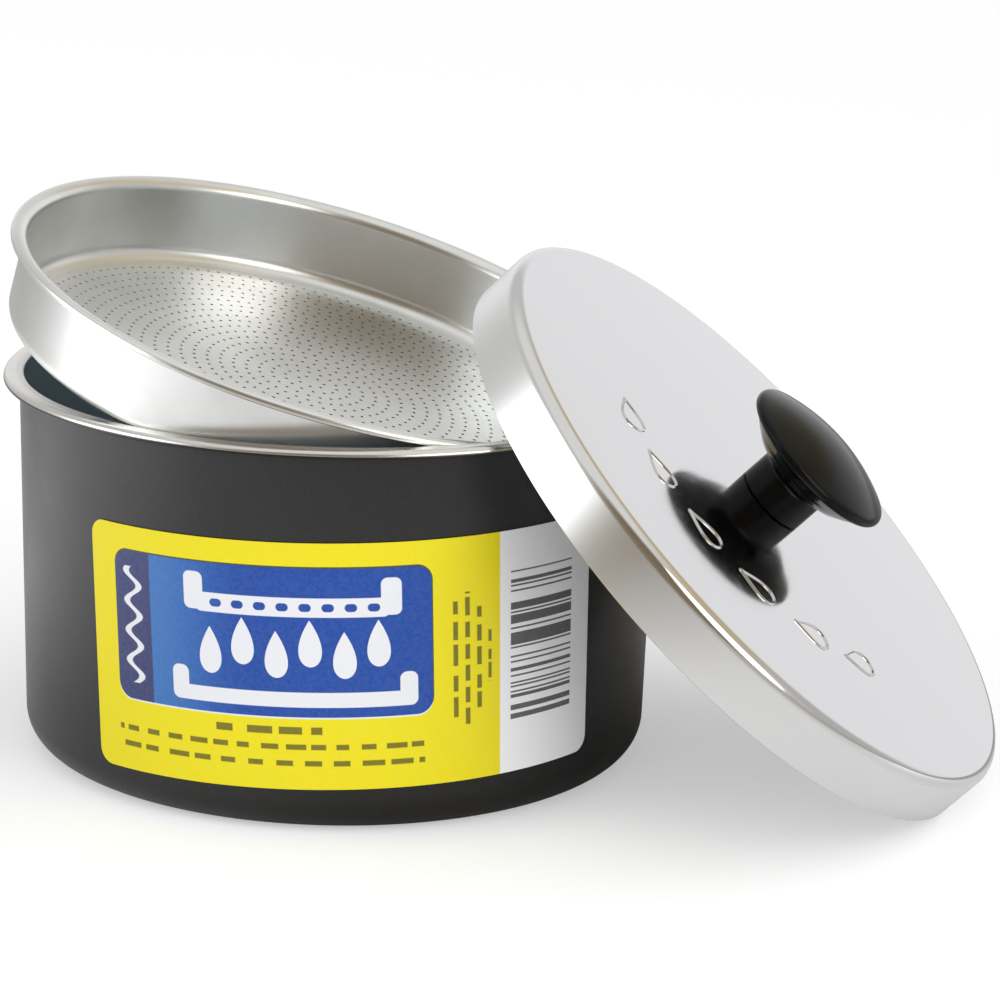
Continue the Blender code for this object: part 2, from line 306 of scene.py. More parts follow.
def makeDropGroup():
    # falling drop, tip upwards, in label millimetres
    group, given, result = newGroup("fallingDrop", {
        "U": 0.0, "V": 0.0, "MiddleU": 0.0, "BottomV": 0.0, "HalfWidth": 1.5, "Height": 4.5, "Blur": 0.08,
    }, ["Mask"])
    share = calc(group, "DIVIDE", calc(group, "SUBTRACT", given["V"], given["BottomV"]), given["Height"])
    shareIn = calc(group, "MINIMUM", calc(group, "MAXIMUM", share, 0.0), 1.0)
    bulge = calc(group, "MULTIPLY", calc(group, "SQRT", shareIn), calc(group, "SUBTRACT", 1.0, shareIn))
    reach = calc(group, "MULTIPLY", calc(group, "MULTIPLY", bulge, 2.6), given["HalfWidth"])
    away = calc(group, "ABSOLUTE", calc(group, "SUBTRACT", given["U"], given["MiddleU"]))
    blurBack = calc(group, "MULTIPLY", given["Blur"], -1.0)
    mask = ramp(group, calc(group, "SUBTRACT", away, reach), blurBack, 0.0, 1.0, 0.0)
    group.links.new(mask, result["Mask"])
    return group


def makeRowGroup():
    # row of plain bars of uneven length, standing in for a line of small print
    group, given, result = newGroup("barRow", {
        "Along": 0.0, "Across": 0.0, "From": 0.0, "To": 1.0, "Level": 0.0, "Height": 1.4,
        "Pitch": 5.0, "Seed": 0.0, "Blur": 0.12,
    }, ["Mask"])
    place = calc(group, "DIVIDE", calc(group, "ADD", given["Along"], given["Seed"]), given["Pitch"])
    number = calc(group, "FLOOR", place)
    share = calc(group, "SUBTRACT", place, number)
    draw = addNode(group, "ShaderNodeTexWhiteNoise", {"noise_dimensions": "1D"},
                   W=calc(group, "ADD", number, given["Seed"]))
    barShare = ramp(group, draw["Value"], 0.0, 1.0, 0.48, 0.86, smooth=False)
    blurBack = calc(group, "MULTIPLY", given["Blur"], -1.0)
    fromStart = calc(group, "MULTIPLY", share, given["Pitch"])
    toEnd = calc(group, "MULTIPLY", calc(group, "SUBTRACT", barShare, share), given["Pitch"])
    low = calc(group, "SUBTRACT", given["Along"], given["From"])
    high = calc(group, "SUBTRACT", given["To"], given["Along"])
    off = calc(group, "ABSOLUTE", calc(group, "SUBTRACT", given["Across"], given["Level"]))
    near = calc(group, "SUBTRACT", calc(group, "MULTIPLY", given["Height"], 0.5), off)
    depth = near
    for reach in (fromStart, toEnd, low, high):
        depth = calc(group, "MINIMUM", depth, reach)
    group.links.new(ramp(group, depth, blurBack, given["Blur"]), result["Mask"])
    return group


fleckGroup = makeFleckGroup()
panelGroup = makePanelGroup()
dropGroup = makeDropGroup()
rowGroup = makeRowGroup()
print("shared effects ready")


# pot: charcoal coated wall with a flange curled down at its edge

pot = {
    "height": 0.0774, "topRadius": 0.0650, "baseRadius": 0.0638, "cornerRadius": 0.0073, "sheet": 0.0009,
    "flangeRadius": 0.0682, "flangeCurl": 0.0016, "curlRound": 0.0013, "mouthEase": 0.0007, "segments": 256,
    "wallTopGap": 0.0005, "rootRound": 0.0006, "hemWidth": 0.0008, "hemEase": 0.0002, "hollow": 0.0003,
    "coat": srgb(16, 16, 17), "fleck": srgb(42, 43, 45), "fleckSize": 3200.0, "fleckCover": 0.40,
    # the inside's pale bluish colour is partly a painted reflection tint
    "rimShade": srgb(226, 224, 220), "inside": srgb(224, 238, 244), "insideMetal": 0.6,
    "roughness": 0.32, "rimRoughness": 0.24, "roughSpread": 0.02, "fleckShare": 0.55, "fleckPolish": 0.02,
    "cloudSize": 90.0, "grainStrength": 0.22, "grainDepth": 0.0001, "ior": 1.58,
}


def potRadius(height):
    straight = pot["height"] - pot["flangeCurl"] - pot["wallTopGap"] - pot["cornerRadius"]
    spread = pot["topRadius"] - pot["baseRadius"]
    return pot["baseRadius"] + spread * (height - pot["cornerRadius"]) / straight


def potOutline():
    centre = (pot["baseRadius"] - pot["cornerRadius"], pot["cornerRadius"])
    outer = arcPoints(*centre, pot["cornerRadius"], -90, 0, 14)
    inner = arcPoints(*centre, pot["cornerRadius"] - pot["sheet"], 0, -90, 14)
    top, edge, wall, sheet = pot["height"], pot["flangeRadius"], pot["topRadius"], pot["sheet"]
    rootRound, ease, below = pot["rootRound"], pot["hemEase"], top - sheet - pot["hollow"]
    root = arcPoints(wall + rootRound, below - rootRound, rootRound, 180, 90, 4)
    under = [(wall + rootRound + pot["hollow"], below), (edge - sheet, below)]
    foot = top - pot["flangeCurl"]
    hem = [(edge - pot["hemWidth"], foot), (edge - ease, foot), (edge, foot + ease)]
    curl = arcPoints(edge - pot["curlRound"], top - pot["curlRound"], pot["curlRound"], 0, 90, 10)
    mouth = arcPoints(wall - sheet + pot["mouthEase"], top - pot["mouthEase"], pot["mouthEase"], 90, 180, 8)
    outside = [(0, 0)] + outer + root + under + hem + curl
    # second value: where the inside of the pot begins in the outline
    return outside + mouth + inner + [(0, sheet)], len(outside) + len(mouth) // 2


def makeCoatingMaterial():
    material, tree, shader = newMaterial("charcoalCoating", IOR=pot["ior"])
    coords = objectCoords(tree)
    x, y, z = splitVector(tree, coords)[:3]
    radius = axisDistance(tree, x, y)
    fleck = useGroup(tree, fleckGroup, Vector=coords, Size=pot["fleckSize"], Cover=pot["fleckCover"])
    cloud = noise(tree, coords, pot["cloudSize"], 3.0)
    coat = mixColour(tree, calc(tree, "MULTIPLY", fleck["Fleck"], pot["fleckShare"]), pot["coat"], pot["fleck"])
    # the flange's top and curl are left bare; the inside is pale half-metal with a painted bluish reflection tint
    top, wall = pot["height"], pot["topRadius"]
    onCurl = ramp(tree, z, top - 0.0011, top - 0.0008)
    onCurl = calc(tree, "MULTIPLY", onCurl, ramp(tree, radius, wall, wall + 0.0005))
    rim = calc(tree, "MAXIMUM", onCurl, ramp(tree, z, top - 0.0007, top - 0.0005))
    flange = ramp(tree, radius, wall + 0.0003, wall + 0.0010)
    inside = addNode(tree, "ShaderNodeAttribute", {"attribute_name": "inner"})["Fac"]
    shade = mixColour(tree, inside, coat, pot["inside"])
    shade = mixColour(tree, rim, shade, pot["rimShade"])
    tree.links.new(shade, shader.inputs["Base Color"])
    metal = calc(tree, "MAXIMUM", rim, calc(tree, "MULTIPLY", inside, pot["insideMetal"]))
    tree.links.new(metal, shader.inputs["Metallic"])
    spread = ramp(tree, cloud, 0.3, 0.7, -pot["roughSpread"], pot["roughSpread"])
    rough = calc(tree, "ADD", pot["roughness"], spread)
    rough = calc(tree, "SUBTRACT", rough, calc(tree, "MULTIPLY", fleck["Fleck"], pot["fleckPolish"]))
    smoother = calc(tree, "MULTIPLY", flange, pot["roughness"] - pot["rimRoughness"])
    tree.links.new(calc(tree, "SUBTRACT", rough, smoother), shader.inputs["Roughness"])
    grain = calc(tree, "MULTIPLY", fleck["Grain"], calc(tree, "SUBTRACT", 1.0, flange))
    tree.links.new(bump(tree, grain, pot["grainStrength"], pot["grainDepth"]), shader.inputs["Normal"])
    return material


potShape, potInnerFrom = potOutline()
potWall = spinOutline("potWall", potShape, pot["segments"], potInnerFrom)
upright = Matrix.Identity(4)
finishPiece(potWall, upright, makeCoatingMaterial(), "container", ["container_pot"])


# label: printed sheet on the front, in its own millimetres

label = {
    "width": 0.1086, "height": 0.0492, "middleHeight": 0.0342, "offset": 0.0046, "corner": 0.0032,
    "sheet": 0.00016, "lift": 0.00012, "riseShare": 0.025, "slantShare": 0.045,
    "columns": 120, "cornerSteps": 8, "rows": 10,
    "yellow": srgb(233, 217, 8), "greyEnd": srgb(243, 243, 245), "navy": srgb(58, 64, 110),
    "blue": srgb(26, 72, 158), "blueSheenLeft": srgb(62, 114, 182), "paper": srgb(228, 232, 236),
    "white": srgb(228, 229, 234), "ink": srgb(50, 50, 18), "inkEdge": srgb(70, 76, 40), "stripeInk": srgb(26, 27, 30),
    "roughness": 0.30, "ior": 1.40, "paperSize": 1400.0, "mottle": 0.025, "rowShare": 0.8, "stripeDark": 0.88,
}
# the print's layout in label millimetres; boxes are left, right, bottom, top, corner
layout = {
    "blur": 0.09, "greyFrom": (85.45, 85.65), "navyTo": (14.75, 14.85), "blueSheenFade": (15.0, 36.0),
    "panel": (6.3, 71.3, 14.6, 44.3, 3.2),
    "panelFoot": (6.3, 71.3, 14.3, 44.0, 3.2), "panelHead": (6.2, 71.5, 14.9, 44.6, 3.2),
    "pan": [(25.0, 63.0, 34.6, 38.4, 1.2), (22.6, 26.6, 34.9, 42.3, 1.3), (61.4, 65.4, 34.9, 42.3, 1.3)],
    "dish": [(19.5, 68.3, 16.6, 19.6, 1.4), (19.5, 23.0, 16.6, 23.4, 1.4), (64.8, 68.3, 16.6, 23.4, 1.4)],
    "drops": 6, "firstDrop": 27.8, "dropPitch": 6.6, "dropFoot": 22.4, "dropStep": 2.3,
    "dropHalfWidth": 2.3, "dropHeight": 9.4,
    "panHoles": 8, "firstHole": 28.0, "holePitch": 4.4, "holeWidth": 2.4,
    "holeFoot": 35.7, "holeTop": 37.3, "holeCorner": 0.8,
    "waveMiddle": 10.6, "waveSwing": 1.5, "waveTurns": 1.05,
    "waveLine": (0.60, 0.90), "waveBox": (6.3, 14.8, 18.0, 41.2, 0.5),
    # rows of bars: from, to, level, height, pitch, seed
    "rowsAcross": [
        (26.5, 49.5, 11.9, 1.5, 6.3, 3.1), (6.0, 70.5, 8.6, 1.1, 4.9, 41.0), (7.0, 69.5, 5.3, 1.1, 5.6, 88.5),
    ],
    "rowsUp": [
        (12.0, 36.5, 76.0, 1.0, 5.2, 7.7), (10.8, 38.2, 78.5, 1.0, 4.4, 19.4),
        (14.5, 35.0, 81.0, 1.0, 4.8, 63.2), (19.5, 31.0, 83.3, 0.7, 3.7, 27.9),
    ],
    "stripeBox": (88.0, 103.4, 9.6, 41.0, 0.1), "stripeWidth": 0.36, "stripeShare": 0.48,
}


def labelColumns():
    halfWidth, corner = label["width"] / 2, label["corner"]
    steps = label["cornerSteps"]
    ease = [corner * (1 - math.cos(math.pi / 2 * step / steps)) for step in range(steps + 1)]
    straight = label["width"] - 2 * corner
    middle = [-halfWidth + corner + straight * step / label["columns"] for step in range(1, label["columns"])]
    return [-halfWidth + away for away in ease] + middle + [halfWidth - away for away in reversed(ease)]


def makeLabelSheet():
    halfWidth, halfHeight = label["width"] / 2, label["height"] / 2
    rows = label["rows"]
    bm = bmesh.new()
    flat = bm.loops.layers.uv.new("labelFlat")
    printed = {}
    grid = []
    for across in labelColumns():
        inset = max(0, label["corner"] - (halfWidth - abs(across)))
        reach = halfHeight - label["corner"] + math.sqrt(max(0, label["corner"] ** 2 - inset ** 2))
        column = []
        for depth in (label["sheet"], 0):
            side = []
            for row in range(rows + 1):
                up = -reach + 2 * reach * row / rows
                along = label["offset"] + across - up * label["slantShare"]
                height = label["middleHeight"] + up + across * label["riseShare"]
                radius = potRadius(height) + label["lift"] + depth
                angle = along / pot["topRadius"] - math.pi / 2
                vert = bm.verts.new((radius * math.cos(angle), radius * math.sin(angle), height))
                printed[vert] = (1000 * (across + halfWidth), 1000 * (up + halfHeight))
                side.append(vert)
            column.append(side)
        grid.append(column)
    for left, right in zip(grid, grid[1:]):
        for row in range(rows):
            bm.faces.new((left[0][row], right[0][row], right[0][row + 1], left[0][row + 1]))
            bm.faces.new((left[1][row], left[1][row + 1], right[1][row + 1], right[1][row]))
        bm.faces.new((left[0][0], left[1][0], right[1][0], right[0][0]))
        bm.faces.new((left[0][rows], right[0][rows], right[1][rows], left[1][rows]))
    for column, flip in ((grid[0], False), (grid[-1], True)):
        for row in range(rows):
            face = [column[0][row], column[0][row + 1], column[1][row + 1], column[1][row]]
            bm.faces.new(face if not flip else reversed(face))
    bmesh.ops.recalc_face_normals(bm, faces=bm.faces)
    for face in bm.faces:
        for loop in face.loops:
            loop[flat].uv = printed[loop.vert]
    return addMesh("labelSheet", bm)


def makeLabelMaterial():
    material, tree, shader = newMaterial("printedLabel", Roughness=label["roughness"], IOR=label["ior"])
    u, v = splitVector(tree, addNode(tree, "ShaderNodeUVMap", {"uv_map": "labelFlat"})[0])[:2]

    def panel(box):
        left, right, bottom, top, corner = box
        return useGroup(tree, panelGroup, U=u, V=v, Left=left, Right=right,
                        Bottom=bottom, Top=top, Corner=corner, Blur=layout["blur"])["Mask"]

    def drop(middle, bottom):
        return useGroup(tree, dropGroup, U=u, V=v, MiddleU=middle, BottomV=bottom,
                        HalfWidth=layout["dropHalfWidth"], Height=layout["dropHeight"])["Mask"]

    def join(masks):
        total = masks[0]
        for mask in masks[1:]:
            total = calc(tree, "MAXIMUM", total, mask)
        return total

    fine = noise(tree, objectCoords(tree), label["paperSize"])
    # fields
    greyEnd = ramp(tree, u, *layout["greyFrom"])
    shade = mixColour(tree, greyEnd, label["yellow"], label["greyEnd"])
    # blue panel, printed a hair out of register: pale under its foot, dark over its head
    shade = mixColour(tree, panel(layout["panelFoot"]), shade, label["paper"])
    shade = mixColour(tree, panel(layout["panelHead"]), shade, label["inkEdge"])
    bluePanel = panel(layout["panel"])
    # painted sheen: the blue panel turns lighter towards its left end
    blueWithSheen = mixColour(tree, ramp(tree, u, *layout["blueSheenFade"]), label["blueSheenLeft"], label["blue"])
    shade = mixColour(tree, bluePanel, shade, blueWithSheen)
    navyBand = calc(tree, "MULTIPLY", bluePanel, ramp(tree, u, *layout["navyTo"], 1.0, 0.0))
    shade = mixColour(tree, navyBand, shade, label["navy"])
    # white drawing: pan over drops over a dish
    shapes = [panel(box) for box in layout["pan"] + layout["dish"]]
    for number in range(layout["drops"]):
        foot = layout["dropFoot"] + layout["dropStep"] * (number % 2)
        shapes.append(drop(layout["firstDrop"] + layout["dropPitch"] * number, foot))
    holes = []
    for number in range(layout["panHoles"]):
        left = layout["firstHole"] + layout["holePitch"] * number
        box = (left, left + layout["holeWidth"], layout["holeFoot"], layout["holeTop"], layout["holeCorner"])
        holes.append(panel(box))
    drawing = calc(tree, "MULTIPLY", join(shapes), calc(tree, "SUBTRACT", 1.0, join(holes)))
    # wavy line on the navy band
    swing = calc(tree, "SINE", calc(tree, "MULTIPLY", v, layout["waveTurns"]))
    swing = calc(tree, "MULTIPLY", swing, layout["waveSwing"])
    wave = calc(tree, "ABSOLUTE", calc(tree, "SUBTRACT", calc(tree, "SUBTRACT", u, layout["waveMiddle"]), swing))
    wave = calc(tree, "MULTIPLY", ramp(tree, wave, *layout["waveLine"], 1.0, 0.0), panel(layout["waveBox"]))
    shade = mixColour(tree, calc(tree, "MAXIMUM", drawing, wave), shade, label["white"])
    # rows of plain bars in place of small print
    bars = []
    for rows, along, across in ((layout["rowsAcross"], u, v), (layout["rowsUp"], v, u)):
        for start, end, level, height, pitch, seed in rows:
            bars.append(useGroup(tree, rowGroup, Along=along, Across=across, From=start, To=end,
                                 Level=level, Height=height, Pitch=pitch, Seed=seed)["Mask"])
    shade = mixColour(tree, calc(tree, "MULTIPLY", join(bars), label["rowShare"]), shade, label["ink"])
    # block of uneven stripes that mean nothing
    stripeNumber = calc(tree, "FLOOR", calc(tree, "DIVIDE", v, layout["stripeWidth"]))
    stripe = addNode(tree, "ShaderNodeTexWhiteNoise", {"noise_dimensions": "1D"}, W=stripeNumber)
    stripes = calc(tree, "GREATER_THAN", stripe["Value"], layout["stripeShare"])
    stripes = calc(tree, "MULTIPLY", stripes, panel(layout["stripeBox"]))
    shade = mixColour(tree, calc(tree, "MULTIPLY", stripes, label["stripeDark"]), shade, label["stripeInk"])
    # ink mottle
    mottle = ramp(tree, fine, 0.3, 0.7, 0.0, label["mottle"])
    shade = mixColour(tree, mottle, shade, label["paper"])
    tree.links.new(shade, shader.inputs["Base Color"])
    tree.links.new(bump(tree, fine, 0.03, 0.00005), shader.inputs["Normal"])
    return material


labelSheet = makeLabelSheet()
finishPiece(labelSheet, upright, makeLabelMaterial(), "container", ["container_label"])


# strainer pan: satin aluminium, rings of small holes made with Geometry Nodes

strainer = {
    "reach": -0.001931, "height": 0.090961, "lean": 16.0, "heading": -22.2,
    "rimRadius": 0.0666, "wallRadius": 0.0637, "taper": 0.0002, "depth": 0.0183, "cornerRadius": 0.0032,
    "sheet": 0.0007, "bead": 0.0015, "lipRound": 0.0010, "mouthEase": 0.0022, "innerCorner": 0.0032, "segments": 256,
    "rootDrop": 0.0004, "rootReach": 0.0005, "slant": 0.0001, "ease": 0.0002, "hemWidth": 0.0006,
    "rings": 21, "firstRing": 7, "ringPitch": 0.00274, "ringTurn": 2.4, "seed": 5,
    "holeRadius": 0.00036, "holeSides": 8,
    "metal": srgb(235, 236, 235), "dull": srgb(227, 228, 226), "cloudSize": 60.0,
    "grainSize": 4200.0, "grainShare": 0.15, "dimpleShare": 0.35, "grainStrength": 0.07, "grainDepth": 0.0001,
    # no part below 0.274: under that the denoiser takes the metal for a mirror and leaves marks
    "roughness": 0.286, "roughSpread": 0.008,
}


def panOutline():
    base = strainer["wallRadius"] - strainer["taper"]
    corner, inside = strainer["cornerRadius"], strainer["innerCorner"]
    sheet, depth, bead = strainer["sheet"], strainer["depth"], strainer["bead"]
    outer = arcPoints(base - corner, corner - depth, corner, -90, 0, 10)
    inner = arcPoints(base - sheet - inside, sheet - depth + inside, inside, 0, -90, 14)
    wall, edge = strainer["wallRadius"], strainer["rimRadius"]
    slant, ease = strainer["slant"], strainer["ease"]
    root = [(wall, -bead - strainer["rootDrop"]), (wall + slant, -bead + ease),
            (wall + strainer["rootReach"], -sheet - ease)]
    hemFoot = edge - strainer["hemWidth"]
    hem = [(hemFoot - slant, -sheet - slant), (hemFoot, -bead), (edge - ease, -bead), (edge, -bead + ease)]
    lipRound, mouthEase = strainer["lipRound"], strainer["mouthEase"]
    lip = arcPoints(edge - lipRound, -lipRound, lipRound, 0, 90, 7)
    mouth = arcPoints(wall - sheet + mouthEase, -mouthEase, mouthEase, 90, 180, 10)
    return [(0, -depth)] + outer + root + hem + lip + mouth + inner + [(0, sheet - depth)]


def makeStrainerTree():
    # rings of cylinders cut out of the floor
    tree, given, result = openTree("strainerHoles", "Pan", {
        "Rings": "Int", "First Ring": "Int", "Ring Pitch": "Float", "Ring Turn": "Float", "Seed": "Int",
        "Hole Radius": "Float", "Hole Sides": "Int", "Cut Height": "Float", "Floor Level": "Float",
        "Metal": "Material",
    }, "Pan")
    link = tree.links.new
    repeatIn, repeatOut = tree.nodes.new("GeometryNodeRepeatInput"), tree.nodes.new("GeometryNodeRepeatOutput")
    repeatIn.pair_with_output(repeatOut)
    link(given["Rings"], repeatIn.inputs["Iterations"])
    number = calc(tree, "ADD", repeatIn.outputs["Iteration"], 1.0)
    circle = addNode(tree, "GeometryNodeMeshCircle", {"fill_type": "NONE"},
                     Vertices=calc(tree, "MULTIPLY", number, given["First Ring"]),
                     Radius=calc(tree, "MULTIPLY", number, given["Ring Pitch"]))
    # each ring is turned by its own angle, so no row of holes lines up across the rings
    ringAngle = addNode(tree, "ShaderNodeCombineXYZ", Z=calc(tree, "MULTIPLY", number, given["Ring Turn"]))
    turned = addNode(tree, "GeometryNodeTransform", Geometry=circle["Mesh"], Rotation=ringAngle[0])
    gather = tree.nodes.new("GeometryNodeJoinGeometry")
    link(turned["Geometry"], gather.inputs[0])
    link(repeatIn.outputs["Geometry"], gather.inputs[0])
    link(gather.outputs[0], repeatOut.inputs["Geometry"])

    lift = addNode(tree, "ShaderNodeCombineXYZ", Z=given["Floor Level"])
    spots = addNode(tree, "GeometryNodeTransform", Geometry=repeatOut.outputs["Geometry"], Translation=lift[0])
    punch = addNode(tree, "GeometryNodeMeshCylinder", Vertices=given["Hole Sides"],
                    Radius=given["Hole Radius"], Depth=given["Cut Height"])
    draw = tree.nodes.new("FunctionNodeRandomValue")
    draw.data_type = "FLOAT"
    draw.inputs[3].default_value = 2 * math.pi    # the float range's upper end
    link(given["Seed"], draw.inputs["Seed"])
    spin = addNode(tree, "ShaderNodeCombineXYZ", Z=draw.outputs[1])
    rotation = addNode(tree, "FunctionNodeEulerToRotation", Euler=spin[0])
    punches = addNode(tree, "GeometryNodeInstanceOnPoints", Points=spots[0],
                      Instance=punch["Mesh"], Rotation=rotation[0])
    real = addNode(tree, "GeometryNodeRealizeInstances", Geometry=punches[0])
    cut = addNode(tree, "GeometryNodeMeshBoolean", {"operation": "DIFFERENCE", "solver": "MANIFOLD"},
                  Mesh_1=given["Pan"], Mesh_2=real[0])
    split = addNode(tree, "GeometryNodeTriangulate", {"ngon_method": "BEAUTY"}, Mesh=cut["Mesh"])
    closeTree(tree, split["Mesh"], given["Metal"], result)
    return tree


def makeStrainerMaterial(place):
    material, tree, shader = newMaterial("satinAluminium", Metallic=1.0)
    coords = objectCoords(tree, place)
    x, y, z = splitVector(tree, coords)[:3]
    radius = axisDistance(tree, x, y)
    fleck = useGroup(tree, fleckGroup, Vector=coords, Size=strainer["grainSize"], Cover=0.5)
    cloud = noise(tree, coords, strainer["cloudSize"], 4.0)
    # the floor is dimpled ring by ring where the holes were punched
    pitch, depth = strainer["ringPitch"], strainer["depth"]
    wave = calc(tree, "COSINE", calc(tree, "MULTIPLY", radius, 2 * math.pi / pitch))
    onFloor = calc(tree, "MULTIPLY", ramp(tree, z, 0.0012 - depth, 0.0020 - depth, 1.0, 0.0),
                   ramp(tree, radius, strainer["rings"] * pitch, (strainer["rings"] + 1) * pitch, 1.0, 0.0))
    shade = mixColour(tree, ramp(tree, cloud, 0.35, 0.7), strainer["metal"], strainer["dull"])
    tree.links.new(shade, shader.inputs["Base Color"])
    spread = ramp(tree, cloud, 0.3, 0.7, -strainer["roughSpread"], strainer["roughSpread"])
    tree.links.new(calc(tree, "ADD", strainer["roughness"], spread), shader.inputs["Roughness"])
    dimples = calc(tree, "MULTIPLY", calc(tree, "MULTIPLY", wave, onFloor), -strainer["dimpleShare"])
    height = calc(tree, "ADD", calc(tree, "MULTIPLY", fleck["Grain"], strainer["grainShare"]), dimples)
    tree.links.new(bump(tree, height, strainer["grainStrength"], strainer["grainDepth"]), shader.inputs["Normal"])
    return material


strainerPlace = leaningPlace(strainer)
strainerPan = spinOutline("strainerPan", panOutline(), strainer["segments"])
strainerMetal = makeStrainerMaterial(strainerPlace)
bakeTree(strainerPan, makeStrainerTree(), Rings=strainer["rings"], First_Ring=strainer["firstRing"],
         Ring_Pitch=strainer["ringPitch"], Ring_Turn=strainer["ringTurn"], Seed=strainer["seed"],
         Hole_Radius=strainer["holeRadius"], Hole_Sides=strainer["holeSides"], Cut_Height=4 * strainer["sheet"],
         Floor_Level=strainer["sheet"] / 2 - strainer["depth"], Metal=strainerMetal)
finishPiece(strainerPan, strainerPlace, strainerMetal, "strainer", ["strainer_pan"])


# lid: polished dome, satin skirt, raised drops

lid = {
    "reach": 0.079719, "height": 0.048244, "lean": 44.2, "heading": -13.6,
    "radius": 0.0692, "skirt": 0.0120, "cornerRadius": 0.0025, "dome": 0.0020, "sheet": 0.0007, "edgeEase": 0.0001,
    "holeRadius": 0.0023, "segments": 256, "domeSteps": 24,
    "polish": srgb(224, 224, 225), "satin": srgb(236, 236, 236), "polishRoughness": 0.085, "satinRoughness": 0.285,
    "satinFrom": 0.0026, "satinTo": 0.0008, "scuffSize": 350.0, "scuffRoughness": 0.05,
    "grainSize": 4200.0, "grainStrength": 0.03, "grainDepth": 0.00006,
}
ridge = {
    "count": 6, "ringRadius": 0.0422, "pitch": 20.1, "middle": -89.5, "length": 0.0092, "width": 0.0056,
    "line": 0.00028, "steps": 14, "fullness": 1.5, "widest": 0.702,
}


def lidLevel(radius):
    return lid["skirt"] + lid["dome"] * (1 - (radius / (lid["radius"] - lid["cornerRadius"])) ** 2)


def lidOutline():
    corner, sheet, ease = lid["cornerRadius"], lid["sheet"], lid["edgeEase"]
    rim, steps = lid["radius"], lid["domeSteps"]
    flat = rim - corner
    radii = [flat + (lid["holeRadius"] - flat) * step / steps for step in range(1, steps + 1)]
    outer = arcPoints(flat, lid["skirt"] - corner, corner, 0, 90, 12)
    outer += [(radius, lidLevel(radius)) for radius in radii]
    under = [(radius, lidLevel(radius) - sheet) for radius in reversed(radii)]
    inner = arcPoints(flat, lid["skirt"] - corner, corner - sheet, 90, 0, 12)
    edge = [(rim - sheet, ease), (rim - sheet + ease, 0), (rim - ease, 0), (rim, ease)]
    return edge + outer + under + inner


def makeLidMaterial(place):
    material, tree, shader = newMaterial("polishedLid", Metallic=1.0)
    coords = objectCoords(tree, place)
    z = splitVector(tree, coords)[2]
    fleck = useGroup(tree, fleckGroup, Vector=coords, Size=lid["grainSize"], Cover=0.5)
    scuffs = noise(tree, coords, lid["scuffSize"], 4.0, 0.65)
    onSkirt = ramp(tree, z, lid["skirt"] - lid["satinFrom"], lid["skirt"] - lid["satinTo"], 1.0, 0.0)
    shade = mixColour(tree, onSkirt, lid["polish"], lid["satin"])
    tree.links.new(shade, shader.inputs["Base Color"])
    onTop = calc(tree, "SUBTRACT", 1.0, onSkirt)
    rough = calc(tree, "MULTIPLY", onSkirt, lid["satinRoughness"] - lid["polishRoughness"])
    rough = calc(tree, "ADD", lid["polishRoughness"], rough)
    worn = ramp(tree, scuffs, 0.45, 0.85, 0.0, lid["scuffRoughness"])
    rough = calc(tree, "ADD", rough, calc(tree, "MULTIPLY", onTop, worn))
    tree.links.new(rough, shader.inputs["Roughness"])
    grain = calc(tree, "MULTIPLY", fleck["Grain"], onSkirt)
    tree.links.new(bump(tree, grain, lid["grainStrength"], lid["grainDepth"]), shader.inputs["Normal"])
    return material


def makeRidgeTree():
    # a rounded line along a drop outline, set in an arc round the lid's middle
    tree, given, result = openTree("dropRidges", "Outline", {
        "Count": "Int", "Ring Radius": "Float", "Pitch": "Float", "First Angle": "Float", "Slope": "Float",
        "Level": "Float", "Line": "Float", "Metal": "Material",
    }, "Ridges")
    curve = addNode(tree, "GeometryNodeMeshToCurve", Mesh=given["Outline"])
    curve = addNode(tree, "GeometryNodeCurveSplineType", {"spline_type": "CATMULL_ROM"}, Curve=curve[0])
    section = addNode(tree, "GeometryNodeCurvePrimitiveCircle", Resolution=8, Radius=given["Line"])
    line = addNode(tree, "GeometryNodeCurveToMesh", Curve=curve[0], Profile_Curve=section["Curve"])

    index = addNode(tree, "GeometryNodeInputIndex")[0]
    angle = calc(tree, "ADD", calc(tree, "MULTIPLY", index, given["Pitch"]), given["First Angle"])
    across = calc(tree, "MULTIPLY", calc(tree, "COSINE", angle), given["Ring Radius"])
    along = calc(tree, "MULTIPLY", calc(tree, "SINE", angle), given["Ring Radius"])
    spot = addNode(tree, "ShaderNodeCombineXYZ", X=across, Y=along, Z=given["Level"])
    points = addNode(tree, "GeometryNodePoints", Count=given["Count"], Position=spot[0])
    turn = addNode(tree, "ShaderNodeCombineXYZ", Y=given["Slope"], Z=angle)
    rotation = addNode(tree, "FunctionNodeEulerToRotation", Euler=turn[0])
    copies = addNode(tree, "GeometryNodeInstanceOnPoints", Points=points[0],
                     Instance=line["Mesh"], Rotation=rotation[0])
    closeTree(tree, copies[0], given["Metal"], result)
    return tree


def makeRidgeOutline():
    # drop outline in its own plane, tip pointing back along Y
    bm = bmesh.new()
    verts = []
    for step in range(ridge["steps"]):
        turn = 2 * math.pi * step / ridge["steps"]
        reach = math.sin(turn) * math.sin(turn / 2) ** ridge["fullness"] / ridge["widest"]
        verts.append(bm.verts.new((reach * ridge["width"] / 2, -math.cos(turn) * ridge["length"] / 2, 0)))
    for left, right in zip(verts, verts[1:] + verts[:1]):
        bm.edges.new((left, right))
    return addMesh("lidDrops", bm)


